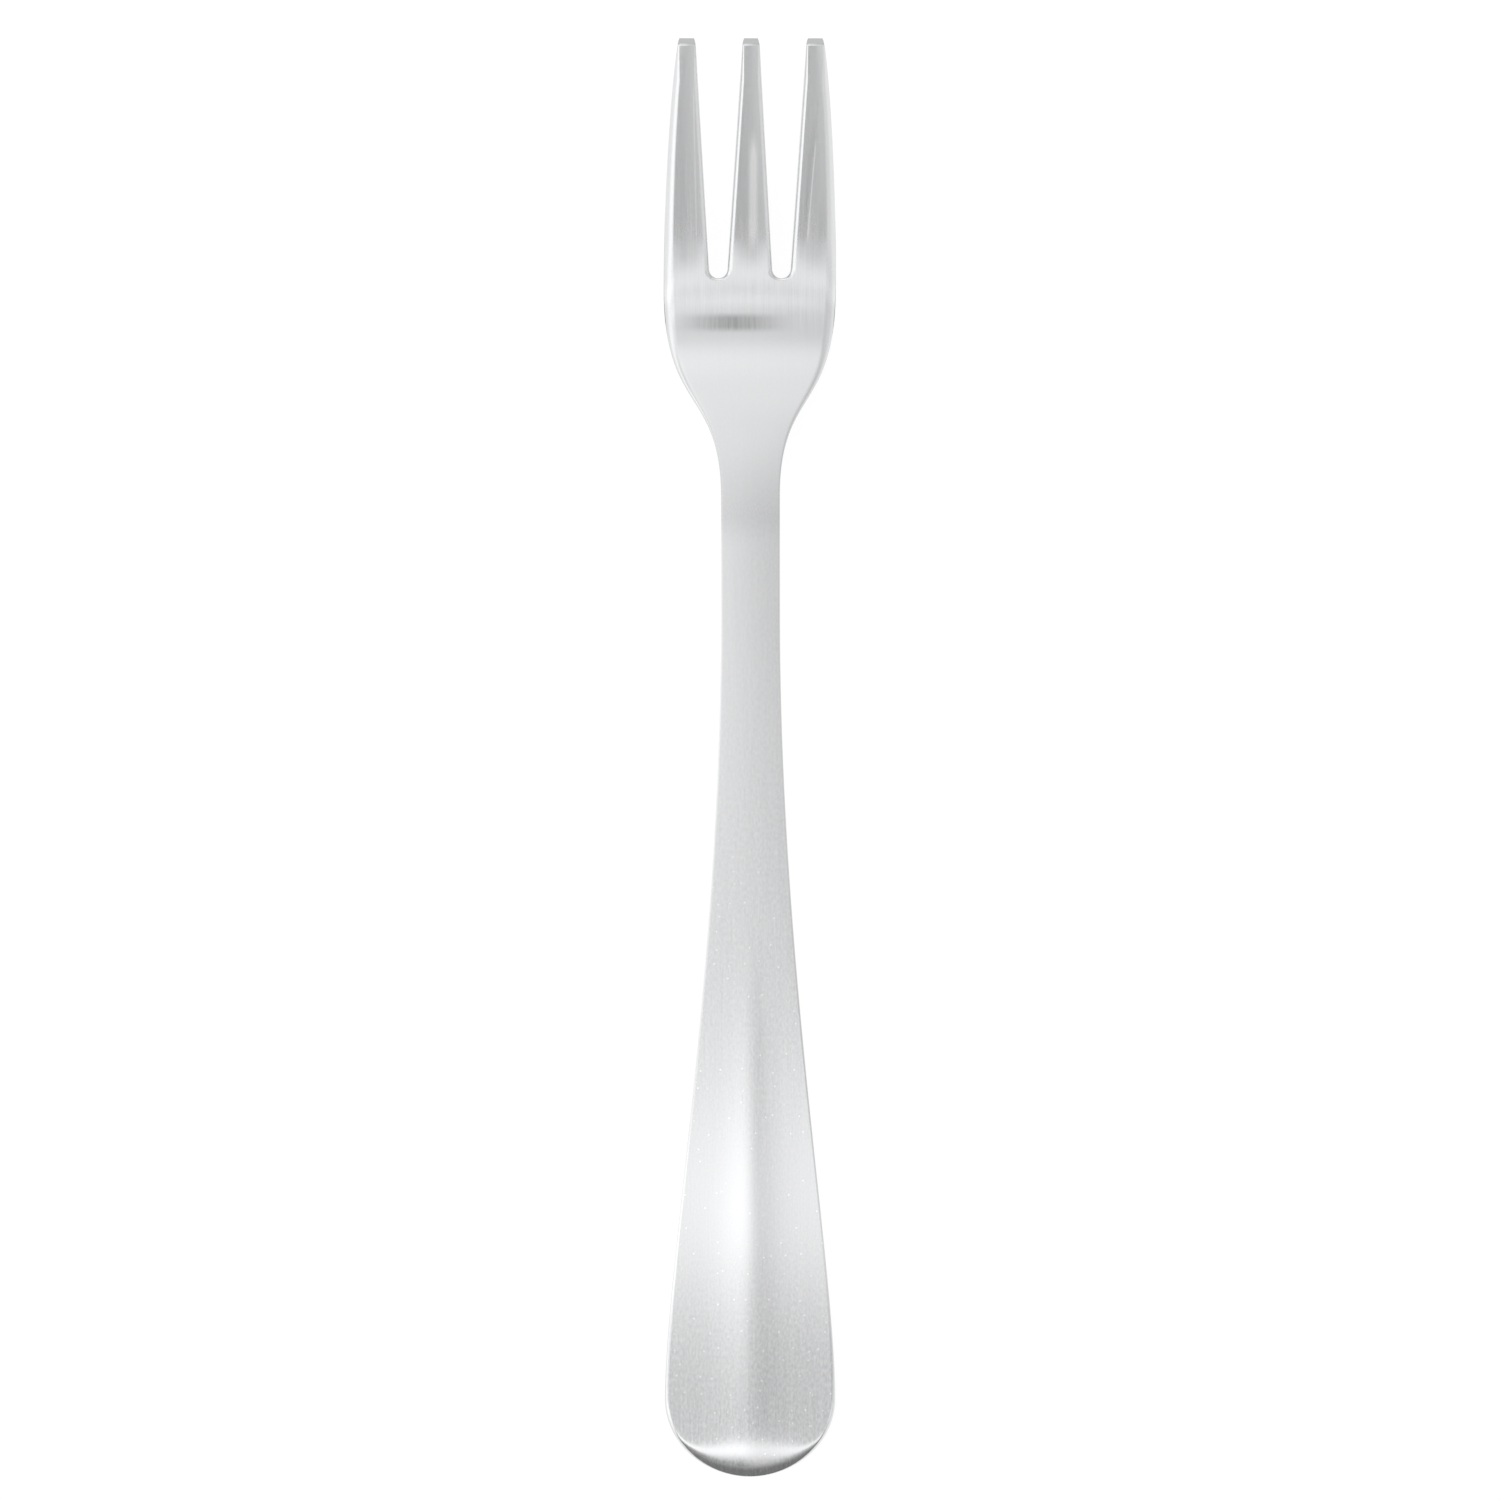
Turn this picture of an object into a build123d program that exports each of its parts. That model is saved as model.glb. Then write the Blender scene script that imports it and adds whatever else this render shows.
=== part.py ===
"""Oyster fork: a three-tined fork stamped and bent from one sheet of stainless steel.

It lies on a table with its tines curving up: X is across, Y points to the tine tips, Z is up.
The fork rests on its heel and on the turned-down end of its handle.
"""

import os
from math import cos, pi, radians, sin, tan

from build123d import *

# Lengths along the fork, from the handle's end to the tine tips (mm)
HANDLE_LENGTH = 84.0
SHANK_LENGTH = 11.5
HEAD_LENGTH = 21.5
TINE_LENGTH = 23.0

# Sheet and its rounded edges (mm); a rounding takes at most a share of the wall it runs along
SHEET_THICKNESS = 1.7
EDGE_RADIUS = 0.4
ROUNDING_SHARE = 0.45

# Handle, seen from above (mm)
HANDLE_WIDTH = 16.6
HANDLE_END_DEPTH = 7.65
FLARE_REACH = 12.5
WAIST_REACH = 34.0

# Soft ridge down the middle of the handle, set back along the sheet from the handle's end (mm)
RIDGE_HEIGHT = 0.45
RIDGE_WIDTH = 11.0
RIDGE_CREST_RADIUS = 15.0
RIDGE_START_SETBACK = 56.0
RIDGE_PEAK_SETBACK = 12.0
RIDGE_FADE_SETBACK = 3.0
RIDGE_SINK = 0.1
RIDGE_SECTIONS = 6

# Shank and head, seen from above (mm)
SHANK_WIDTH = 5.7
NECK_OUTLINE_REACH = 10.75
SHOULDER_REACH = 12.25
HEAD_WIDTH = 16.8
CHEEK_SETBACK = 1.0

# Tines and the slots between them, seen from above (mm, degrees)
SLOT_ROOT_WIDTH = 1.7
SLOT_ROOT_RADIUS = 0.75
SLOT_ROOT_WALL = 0.6
TINE_TIP_WIDTH = 1.6
TIP_SPREAD = 14.0
TINE_SIDE_REACH = 11.0
TIP_SIDE_REACH = 2.75
TIP_SIDE_LEAN = 12.0

# Side view: slopes from the level (degrees), bends and setbacks (mm)
TINE_RISE = 22.0
NECK_RISE = 30.0
HANDLE_FALL = 11.0
END_FALL = 50.0
HEEL_SETBACK = 4.0
HEEL_RADIUS = 13.5
PALM_RUN = 1.4
NECK_REACH = 14.0
HANDLE_REACH = 30.0
END_BEND_RADIUS = 4.0
END_LIP = 0.3

# An upright wall's normal rises by no more than this
UPRIGHT_TOLERANCE = 0.001

# Stations along Y, with the origin midway along the fork
overall_length = HANDLE_LENGTH + SHANK_LENGTH + HEAD_LENGTH + TINE_LENGTH
end_y = -overall_length / 2
shank_back_y = end_y + HANDLE_LENGTH
shank_front_y = shank_back_y + SHANK_LENGTH
slot_floor_y = shank_front_y + HEAD_LENGTH
tip_y = slot_floor_y + TINE_LENGTH
cheek_y = slot_floor_y - CHEEK_SETBACK
widest_y = end_y + HANDLE_END_DEPTH

# A rounding is never more than its wall can hold
edge_radius = min(EDGE_RADIUS, ROUNDING_SHARE * SHEET_THICKNESS, ROUNDING_SHARE * TINE_TIP_WIDTH)
slot_radius = min(SLOT_ROOT_RADIUS, ROUNDING_SHARE * SLOT_ROOT_WIDTH)
tine_root_y = slot_floor_y + slot_radius + SLOT_ROOT_WALL

# Side view: the heel's bend and the rounded lip of the handle's end both touch the table at Z = 0
tine_rise = radians(TINE_RISE)
neck_rise = radians(NECK_RISE)
handle_fall = radians(HANDLE_FALL)
end_fall = radians(END_FALL)
half_sheet = SHEET_THICKNESS / 2
heel_contact_y = slot_floor_y - HEEL_SETBACK
heel_tangent = HEEL_RADIUS * tan((tine_rise + neck_rise) / 2)
heel_y = heel_contact_y + heel_tangent * cos(neck_rise) - HEEL_RADIUS * sin(neck_rise)
heel_drop = HEEL_RADIUS * (cos((tine_rise - neck_rise) / 2) / cos((tine_rise + neck_rise) / 2) - 1)
heel_z = half_sheet - heel_drop
tip_line_y = tip_y - half_sheet * sin(tine_rise)
tip_line_z = heel_z + (tip_line_y - heel_y) * tan(tine_rise)
palm_back_y = heel_y - (heel_tangent + PALM_RUN) * cos(neck_rise)
palm_back_z = heel_z + (heel_tangent + PALM_RUN) * sin(neck_rise)
lip_lift = edge_radius * (1 / cos(end_fall) + tan(end_fall) - 1)
end_line_z = half_sheet / cos(end_fall) - lip_lift
bend_y = end_y + END_LIP + END_BEND_RADIUS * (sin(end_fall) - sin(handle_fall))
bend_z = end_line_z + END_LIP * tan(end_fall) + END_BEND_RADIUS * (cos(handle_fall) - cos(end_fall))

# Middle line of the bent sheet, from the tine tips back to just past the handle's end
with BuildLine(Plane.YZ) as side_line:
    FilletPolyline(
        (tip_line_y, tip_line_z),
        (heel_y, heel_z),
        (palm_back_y, palm_back_z),
        radius=HEEL_RADIUS,
    )
    handle_line = Bezier(
        (palm_back_y, palm_back_z),
        (palm_back_y - NECK_REACH * cos(neck_rise), palm_back_z + NECK_REACH * sin(neck_rise)),
        (bend_y + HANDLE_REACH * cos(handle_fall), bend_z + HANDLE_REACH * sin(handle_fall)),
        (bend_y, bend_z),
    )
    end_bend = JernArc(handle_line @ 1, handle_line % 1, END_BEND_RADIUS, END_FALL - HANDLE_FALL)
    Line(end_bend @ 1, end_bend @ 1 + (end_bend % 1) * (END_LIP + SHEET_THICKNESS) / cos(end_fall))
side_wire = side_line.wire()
sheet_end = side_wire.length - SHEET_THICKNESS / cos(end_fall)

# The whole stamping, before it is divided into its named regions
with BuildPart() as fork:
    # Bent sheet, far wider than the fork
    with BuildSketch(Plane.YZ):
        trace(Plane.YZ.to_local_coords(side_wire), line_width=SHEET_THICKNESS)
    extrude(amount=overall_length, both=True)

    # Ridge that swells out of the handle and fades into the end bend
    ridge_run = RIDGE_START_SETBACK - RIDGE_PEAK_SETBACK
    ridge_stations = [
        (RIDGE_START_SETBACK - ridge_run * step / RIDGE_SECTIONS, sin(pi / 2 * step / RIDGE_SECTIONS))
        for step in range(RIDGE_SECTIONS + 1)
    ]
    ridge_stations.append((RIDGE_FADE_SETBACK, 0))
    foot_x = HANDLE_WIDTH / 2
    foot_fall = RIDGE_HEIGHT * HANDLE_WIDTH / RIDGE_WIDTH
    for setback, swell in ridge_stations:
        place = sheet_end - setback
        section = Plane(
            origin=side_wire.position_at(place, PositionMode.LENGTH),
            x_dir=(1, 0, 0),
            z_dir=side_wire.tangent_at(place, PositionMode.LENGTH),
        )
        crest = half_sheet - RIDGE_SINK + swell * (RIDGE_HEIGHT + RIDGE_SINK)
        with BuildSketch(section):
            with BuildLine():
                FilletPolyline(
                    (-foot_x, crest - foot_fall),
                    (0, crest),
                    (foot_x, crest - foot_fall),
                    radius=RIDGE_CREST_RADIUS,
                )
                Polyline(
                    (foot_x, crest - foot_fall),
                    (foot_x, -half_sheet / 2),
                    (-foot_x, -half_sheet / 2),
                    (-foot_x, crest - foot_fall),
                )
            make_face()
    loft()

    # Outline
    with BuildSketch(Plane.XY):
        with BuildLine():
            EllipticalCenterArc((0, widest_y), HANDLE_WIDTH / 2, HANDLE_END_DEPTH, 270)
            Bezier(
                (HANDLE_WIDTH / 2, widest_y),
                (HANDLE_WIDTH / 2, widest_y + FLARE_REACH),
                (SHANK_WIDTH / 2, shank_back_y - WAIST_REACH),
                (SHANK_WIDTH / 2, shank_back_y),
            )
            Line((SHANK_WIDTH / 2, shank_back_y), (SHANK_WIDTH / 2, shank_front_y))
            Bezier(
                (SHANK_WIDTH / 2, shank_front_y),
                (SHANK_WIDTH / 2, shank_front_y + NECK_OUTLINE_REACH),
                (HEAD_WIDTH / 2, cheek_y - SHOULDER_REACH),
                (HEAD_WIDTH / 2, cheek_y),
            )
            lean_x = TIP_SIDE_REACH * sin(radians(TIP_SIDE_LEAN))
            lean_y = TIP_SIDE_REACH * cos(radians(TIP_SIDE_LEAN))
            Bezier(
                (HEAD_WIDTH / 2, cheek_y),
                (HEAD_WIDTH / 2, cheek_y + TINE_SIDE_REACH),
                (TIP_SPREAD / 2 + lean_x, tip_y - lean_y),
                (TIP_SPREAD / 2, tip_y),
            )
            Polyline(
                (TIP_SPREAD / 2, tip_y),
                (TIP_SPREAD / 2 - lean_x, tip_y + lean_y),
                (0, tip_y + lean_y),
            )
            mirror(about=Plane.YZ)
        make_face()
    extrude(amount=overall_length, both=True, mode=Mode.INTERSECT)

    # Two slots that widen from their round ends to the tine tips, between tines of one root width
    tine_root_width = (HEAD_WIDTH - 2 * SLOT_ROOT_WIDTH) / 3
    inner_root_x = tine_root_width / 2
    outer_root_x = inner_root_x + SLOT_ROOT_WIDTH
    inner_lean = (inner_root_x - TINE_TIP_WIDTH / 2) / TINE_LENGTH
    outer_lean = (TIP_SPREAD / 2 - TINE_TIP_WIDTH - outer_root_x) / TINE_LENGTH
    slot_run = TINE_LENGTH + lean_y
    with BuildSketch(Plane.XY):
        with BuildLine():
            Polyline(
                (inner_root_x - slot_run * inner_lean, slot_floor_y + slot_run),
                (inner_root_x, slot_floor_y),
                (outer_root_x, slot_floor_y),
                (outer_root_x + slot_run * outer_lean, slot_floor_y + slot_run),
                close=True,
            )
        slot = make_face()
        fillet(slot.vertices().group_by(Axis.Y)[0], slot_radius)
        mirror(about=Plane.YZ)
    extrude(amount=overall_length, both=True, mode=Mode.SUBTRACT)

    # Rounded edges all round the outline
    walls = fork.faces().filter_by(lambda face: abs(face.normal_at().Z) < UPRIGHT_TOLERANCE)
    fillet(walls.edges().filter_by(Axis.Z, reverse=True), edge_radius)


def cut_across(y):
    """Plane square to the fork's length at y, facing the tine tips."""
    return Plane(origin=(0, y, 0), x_dir=(1, 0, 0), z_dir=(0, 1, 0))


with BuildPart() as handle:
    add(fork.part)
    split(bisect_by=cut_across(shank_back_y), keep=Keep.BOTTOM)
handle.part.label = "handle"

with BuildPart() as shank:
    add(fork.part)
    split(bisect_by=cut_across(shank_back_y), keep=Keep.TOP)
    split(bisect_by=cut_across(shank_front_y), keep=Keep.BOTTOM)
shank.part.label = "shank"

with BuildPart() as head:
    add(fork.part)
    split(bisect_by=cut_across(shank_front_y), keep=Keep.TOP)
    split(bisect_by=cut_across(tine_root_y), keep=Keep.BOTTOM)
head.part.label = "head"

with BuildPart() as tines:
    add(fork.part)
    split(bisect_by=cut_across(tine_root_y), keep=Keep.TOP)

os.makedirs("parts", exist_ok=True)
for region in (handle, shank, head):
    export_step(region.part, f"parts/{region.part.label}.step")

for name, solid in zip(("left_tine", "centre_tine", "right_tine"), tines.solids().sort_by(Axis.X)):
    with BuildPart() as tine:
        add(solid)
    tine.part.label = name
    export_step(tine.part, f"parts/{name}.step")

box = fork.part.bounding_box()
print(f"Fork {box.size.X:.2f} x {box.size.Y:.2f} x {box.size.Z:.2f} mm, {fork.part.volume:.0f} mm3")
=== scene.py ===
"""Looks of the oyster fork: one bent sheet of brushed steel over the six named regions of the frame.

Each shape is laid out as seen from above and then lifted onto the bent sheet. There x runs across, y runs from
the handle's end to the tine tips, and t is the height above the sheet's middle, square to the sheet. Along the
sheet itself runs s. Sizes are in millimetres and degrees until a mesh is made, which is in metres.
"""

import logging
from abc import ABC, abstractmethod
from collections.abc import Callable
from dataclasses import dataclass
from enum import Enum

import bpy
import numpy as np
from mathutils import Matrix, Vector


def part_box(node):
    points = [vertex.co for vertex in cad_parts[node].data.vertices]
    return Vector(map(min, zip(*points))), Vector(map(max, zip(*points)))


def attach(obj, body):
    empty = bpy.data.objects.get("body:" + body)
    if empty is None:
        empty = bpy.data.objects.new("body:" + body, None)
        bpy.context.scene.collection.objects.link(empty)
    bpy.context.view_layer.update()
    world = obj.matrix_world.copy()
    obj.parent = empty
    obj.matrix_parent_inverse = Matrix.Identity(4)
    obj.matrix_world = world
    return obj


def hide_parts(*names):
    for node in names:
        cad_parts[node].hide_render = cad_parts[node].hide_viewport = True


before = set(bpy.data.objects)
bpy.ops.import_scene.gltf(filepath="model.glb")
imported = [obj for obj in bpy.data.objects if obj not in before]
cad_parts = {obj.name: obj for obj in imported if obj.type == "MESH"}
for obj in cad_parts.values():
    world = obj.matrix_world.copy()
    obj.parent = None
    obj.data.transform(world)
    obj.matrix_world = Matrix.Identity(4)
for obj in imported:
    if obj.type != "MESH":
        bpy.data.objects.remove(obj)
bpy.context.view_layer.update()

Array = np.ndarray
Span = tuple[float, float]
Stops = tuple[Span, ...]
Inputs = dict[str | int, object]
LOG = logging.getLogger("oyster_fork")
METRES = 0.001
BODY = "root"
SHEET_MAP = "sheet"
MAP_MIDDLE = 0.5
POLISH = "edge_polish"


class Face(Enum):
    """The two faces of the sheet, by the sign of t."""

    UPPER = 1
    LOWER = -1


Relief = Callable[[Face, Array, Array], Array]
Side = Callable[[Array], tuple[Array, Array]]


class TineSide(Enum):
    """Where a tine stands, seen from above with the tines away."""

    LEFT = -1
    CENTRE = 0
    RIGHT = 1


def ease(low: float, high: float, value: Array) -> Array:
    """Rise along 3u^2 - 2u^3, with u the share of the way from low to high.

    Args:
        low: value where the rise starts, at 0.
        high: value where it ends, at 1.
        value: places to work it out at.

    Returns:
        The share risen at each place.
    """
    share = np.clip((value - low) / (high - low), 0.0, 1.0)
    return share * share * (3.0 - 2.0 * share)


def steps(low: float, high: float, pitch: float) -> Array:
    """Divide a run evenly.

    Args:
        low: start of the run.
        high: end of the run.
        pitch: longest step allowed.

    Returns:
        The places from low to high, both included.
    """
    return np.linspace(low, high, int(np.ceil((high - low) / pitch)) + 1)


def unit(vectors: Array) -> Array:
    """Scale vectors in the last axis to length 1."""
    return vectors / np.linalg.norm(vectors, axis=-1, keepdims=True)


@dataclass(frozen=True)
class Cubic:
    """Cubic curve through its first and last control points, as pairs (across, along)."""

    points: tuple[Span, ...]
    samples: int = 2001

    def at(self, share: Array) -> Array:
        """Give the points of the curve.

        Args:
            share: curve parameters from 0 to 1.

        Returns:
            One row (across, along) for each parameter.
        """
        first, second, third, last = np.array(self.points)
        ahead = share[:, None]
        behind = 1.0 - ahead
        return (
            behind**3 * first
            + 3 * behind**2 * ahead * second
            + 3 * behind * ahead**2 * third
            + ahead**3 * last
        )

    def rate(self, share: Array) -> Array:
        """Give the curve's derivative.

        Args:
            share: curve parameters from 0 to 1.

        Returns:
            One row (across, along) for each parameter.
        """
        first, second, third, last = np.array(self.points)
        ahead = share[:, None]
        behind = 1.0 - ahead
        return 3 * (
            behind**2 * (second - first)
            + 2 * behind * ahead * (third - second)
            + ahead**2 * (last - third)
        )

    def across(self, along: Array) -> tuple[Array, Array]:
        """Read the curve at places along it, which it passes only once.

        Args:
            along: second coordinates.

        Returns:
            First coordinates there, and their slopes.
        """
        share = np.linspace(0.0, 1.0, self.samples)
        share = np.interp(along, self.at(share)[:, 1], share)
        rate = self.rate(share)
        return self.at(share)[:, 0], rate[:, 0] / rate[:, 1]


@dataclass(frozen=True)
class BentLine:
    """Middle line of the bent sheet in its side view, sampled along s."""

    s: Array
    y: Array
    z: Array
    slope: Array
    rounds: int = 5

    def settle(self, y: Array, t: Array) -> tuple[Array, Array]:
        """Find the places on the sheet that lie at y, with height t, by closing the gap in a few rounds.

        Args:
            y: places along the fork.
            t: heights above the sheet's middle.

        Returns:
            Places s along the sheet, and the sheet's slopes there.
        """
        s = np.interp(y, self.y, self.s)
        for _ in range(self.rounds):
            slope = np.interp(s, self.s, self.slope)
            s = s + (y - np.interp(s, self.s, self.y) + np.sin(slope) * t) / np.cos(slope)
        return s, np.interp(s, self.s, self.slope)

    def place(self, x: Array, y: Array, t: Array) -> Array:
        """Lift points onto the bent sheet: the middle line at s plus t square to it.

        Args:
            x: places across.
            y: places along the fork.
            t: heights above the sheet's middle.

        Returns:
            Points with x, y, z in the last axis.
        """
        s, slope = self.settle(y, t)
        return np.stack([x, y, np.interp(s, self.s, self.z) + np.cos(slope) * t], axis=-1)


@dataclass(frozen=True)
class SideLine:
    """Side view of the fork: straight tines, a round heel, a straight palm and one cubic handle curve."""

    tip_y: float
    end_y: float
    half_sheet: float = 0.85
    tine_rise: float = 22.0
    neck_rise: float = 30.0
    handle_fall: float = 11.0
    heel_y: float = 43.0
    heel_radius: float = 13.5
    palm_run: float = 1.4
    neck_reach: float = 14.0
    handle_reach: float = 30.0
    bend_setback: float = 2.6
    bend_z: float = 2.336
    easing: float = 2.2
    bell_reach: float = 3.0
    handle_samples: int = 801
    pitch: float = 0.05
    margin: float = 3.0

    def handle_curve(self, palm: Array) -> Cubic:
        """Give the handle's curve from its end to the palm, as pairs (y, z).

        Args:
            palm: point (y, z) where the straight palm starts.

        Returns:
            The curve, straight along the end's fall and the neck's rise at its two ends.
        """
        neck, fall = np.radians([self.neck_rise, self.handle_fall])
        bend = np.array([self.end_y + self.bend_setback, self.bend_z])
        leave = bend + self.handle_reach * np.array([np.cos(fall), np.sin(fall)])
        arrive = palm + self.neck_reach * np.array([-np.cos(neck), np.sin(neck)])
        return Cubic((tuple(bend), tuple(leave), tuple(arrive), tuple(palm)))

    def trace(self) -> BentLine:
        """Work out the line by its slope.

        The slope is constant on the straight runs, follows the cubic curve on the handle and changes evenly
        with s round the heel. It is then averaged with a bell curve of width easing, so that the bends start
        softly, and the line is the running sum of its cosine and sine.

        Returns:
            The sampled line, standing with its heel on z = 0.
        """
        tine, neck, fall = np.radians([self.tine_rise, self.neck_rise, self.handle_fall])
        bend = self.half_sheet + self.heel_radius * (1 - np.cos(neck))
        palm_start = np.array([self.heel_y - self.heel_radius * np.sin(neck), bend])
        palm = palm_start + self.palm_run * np.array([-np.cos(neck), np.sin(neck)])
        curve = self.handle_curve(palm)
        share = np.linspace(0.0, 1.0, self.handle_samples)
        rate = curve.rate(share)
        chords = np.linalg.norm(np.diff(curve.at(share), axis=0), axis=1)
        run = np.concatenate([[0.0], np.cumsum(chords)]) + self.bend_setback / np.cos(fall)
        palm_end = run[-1] + self.palm_run
        heel_end = palm_end + self.heel_radius * (tine + neck)
        tip_line_y = self.tip_y - self.half_sheet * np.sin(tine)
        heel_end_y = self.heel_y + self.heel_radius * np.sin(tine)
        tip_s = heel_end + (tip_line_y - heel_end_y) / np.cos(tine)
        knots = np.concatenate([[-self.margin], run, [palm_end, heel_end, tip_s + self.margin]])
        slopes = np.concatenate([[fall], np.arctan2(rate[:, 1], rate[:, 0]), [-neck, tine, tine]])
        s = np.arange(-self.margin, tip_s + self.margin, self.pitch)
        reach = int(np.ceil(self.bell_reach * self.easing / self.pitch))
        bell = np.exp(-0.5 * (np.arange(-reach, reach + 1) * self.pitch / self.easing) ** 2)
        sharp = np.pad(np.interp(s, knots, slopes), reach, mode="edge")
        slope = np.convolve(sharp, bell / bell.sum(), mode="valid")
        middle = (slope[1:] + slope[:-1]) / 2
        y = np.concatenate([[0.0], np.cumsum(np.cos(middle) * self.pitch)])
        z = np.concatenate([[0.0], np.cumsum(np.sin(middle) * self.pitch)])
        y += tip_line_y - np.interp(tip_s, s, y)
        z += self.half_sheet - z[y > palm[0]].min()
        return BentLine(s, y, z, slope)


@dataclass(frozen=True)
class Edge:
    """Stations along an edge: where its face ends, the way out, the rounding, and how far the wall is square.

    The rounding is a straight chamfer at power 1 and a quarter ellipse at power 2. A wall is upright where square
    is 0, and square to the sheet where it is 1.
    """

    inset: Array
    out: Array
    width: Array
    depth: Array
    power: Array
    square: Array

    def fields(self) -> tuple[Array, ...]:
        """List the fields in order."""
        return self.inset, self.out, self.width, self.depth, self.power, self.square

    def part(self, rows: slice) -> "Edge":
        """Keep some of the stations."""
        return Edge(*(field[rows] for field in self.fields()))

    def mirrored(self) -> "Edge":
        """Give the same edge on the other side of the fork."""
        flip = np.array([-1.0, 1.0])
        return Edge(self.inset * flip, self.out * flip, *self.fields()[2:])

    def then(self, other: "Edge") -> "Edge":
        """Go on with another edge's stations."""
        return Edge(*(np.concatenate(pair) for pair in zip(self.fields(), other.fields())))


@dataclass(frozen=True)
class Patch:
    """A grid of surface points in millimetres, with what the mesh needs at each of them."""

    points: Array
    normals: Array
    flat: Array
    polish: Array
    face: Face

    @property
    def cells(self) -> int:
        """Number of the grid's cells."""
        rows, columns = self.polish.shape
        return (rows - 1) * (columns - 1)


@dataclass(frozen=True)
class Sheet:
    """The sheet's two faces seen from above, and the lifting onto the bent line."""

    line: BentLine
    half: float
    reliefs: tuple[Relief, ...]
    probe: float = 0.02
    rim_steps: int = 10
    lower_depth: float = 0.5
    rim_unrolled: float = 0.5
    cap_unrolled: float = 0.01

    def height(self, face: Face, x: Array, y: Array) -> Array:
        """Give t of a face: half the sheet's thickness plus every relief."""
        return face.value * self.half + sum(relief(face, x, y) for relief in self.reliefs)

    def normals(self, face: Face, x: Array, y: Array) -> Array:
        """Give a face's outward normals, from its slopes across and along the sheet by central differences.

        Args:
            face: upper or lower face.
            x: places across.
            y: places along the fork.

        Returns:
            Unit directions with x, y, z in the last axis.
        """
        across = self.height(face, x + self.probe, y) - self.height(face, x - self.probe, y)
        along = self.height(face, x, y + self.probe) - self.height(face, x, y - self.probe)
        _, slope = self.line.settle(y, self.height(face, x, y))
        lean_x = -across / (2 * self.probe)
        lean_s = -along / (2 * self.probe) * np.cos(slope)
        ahead = lean_s * np.cos(slope) - np.sin(slope)
        up = lean_s * np.sin(slope) + np.cos(slope)
        return unit(face.value * np.stack([lean_x, ahead, up], axis=-1))

    def surface(self, face: Face, x: Array, y: Array) -> Patch:
        """Lay a face over a grid of places: t is the face's height, and the normal is square to it.

        Args:
            face: upper or lower face.
            x: grid of places across.
            y: grid of places along the fork.

        Returns:
            The lifted patch.
        """
        return Patch(
            self.line.place(x, y, self.height(face, x, y)),
            self.normals(face, x, y),
            np.stack([x, y], axis=-1),
            np.zeros(x.shape),
            face,
        )

    def rim(self, face: Face, edge: Edge) -> Patch:
        """Break an edge: a curve between chamfer and round leaves the face and drops to the wall.

        With k = 2 / power, at angle b the point lies reach * sin(b)^k further out and depth * (1 - cos(b)^k)
        below the face. The wall then runs to the middle of the sheet. A wall square to the sheet lies the
        further along y the lower it is.

        Args:
            face: the face that the rounding leaves.
            edge: stations along the edge.

        Returns:
            The lifted patch, one row for each station.
        """
        angle = np.append(np.linspace(0.0, np.pi / 2, self.rim_steps + 1), np.pi / 2)
        sine, cosine = np.sin(angle), np.maximum(np.cos(angle), 0.0)
        bulge = 2 / edge.power[:, None]
        depth = edge.depth * (1.0 if face is Face.UPPER else self.lower_depth)
        _, slope = self.line.settle(edge.inset[:, 1], np.zeros(depth.shape))
        lean = edge.square * np.sin(slope)
        push = lean * (self.half - face.value * (self.half - depth))
        reach = edge.width + push
        going = edge.width[:, None] * sine**bulge
        ahead = push[:, None] * sine**bulge
        ahead[:, -1] = lean * self.half
        place = edge.inset[:, None, :] + edge.out[:, None, :] * going[..., None]
        x, y = place[..., 0], place[..., 1] + ahead
        t = self.height(face, x, y) - face.value * depth[:, None] * (1 - cosine**bulge)
        upper = self.height(Face.UPPER, x[:, -1], y[:, -1])
        lower = self.height(Face.LOWER, x[:, -1], y[:, -1])
        t[:, -1] = (upper + lower) / 2
        tilt = edge.square * slope
        wall = np.stack([edge.out[:, 0], edge.out[:, 1] * np.cos(tilt), np.sin(tilt)], axis=-1)
        steep = (depth / reach / np.cos(slope))[:, None] * sine ** (2 - bulge)
        plain = self.normals(face, x, y)
        plain = plain / np.abs(plain[..., 2:]) * (cosine ** (2 - bulge))[..., None]
        unrolled = self.rim_unrolled * (going + ahead + np.abs(self.height(face, x, y) - t))
        return Patch(
            self.line.place(x, y, t),
            unit(plain + wall[:, None, :] * steep[..., None]),
            edge.inset[:, None, :] + edge.out[:, None, :] * unrolled[..., None],
            np.broadcast_to(sine, x.shape),
            face,
        )

    def strip(self, left: Edge, right: Edge, columns: int) -> list[Patch]:
        """Fill the sheet between two edges with straight rows, and round both edges.

        Args:
            left: stations of the left edge.
            right: stations of the right edge, as many.
            columns: number of steps in a row.

        Returns:
            The upper and lower face and the four roundings.
        """
        rows = row_between(left.inset, right.inset, columns)
        return self.faces(rows) + self.rims(left, right)

    def faces(self, rows: Array) -> list[Patch]:
        """Lay both faces over a grid of places (x, y)."""
        return [self.surface(face, rows[..., 0], rows[..., 1]) for face in Face]

    def rims(self, *edges: Edge) -> list[Patch]:
        """Round edges on both faces."""
        return [self.rim(face, edge) for edge in edges for face in Face]

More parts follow.
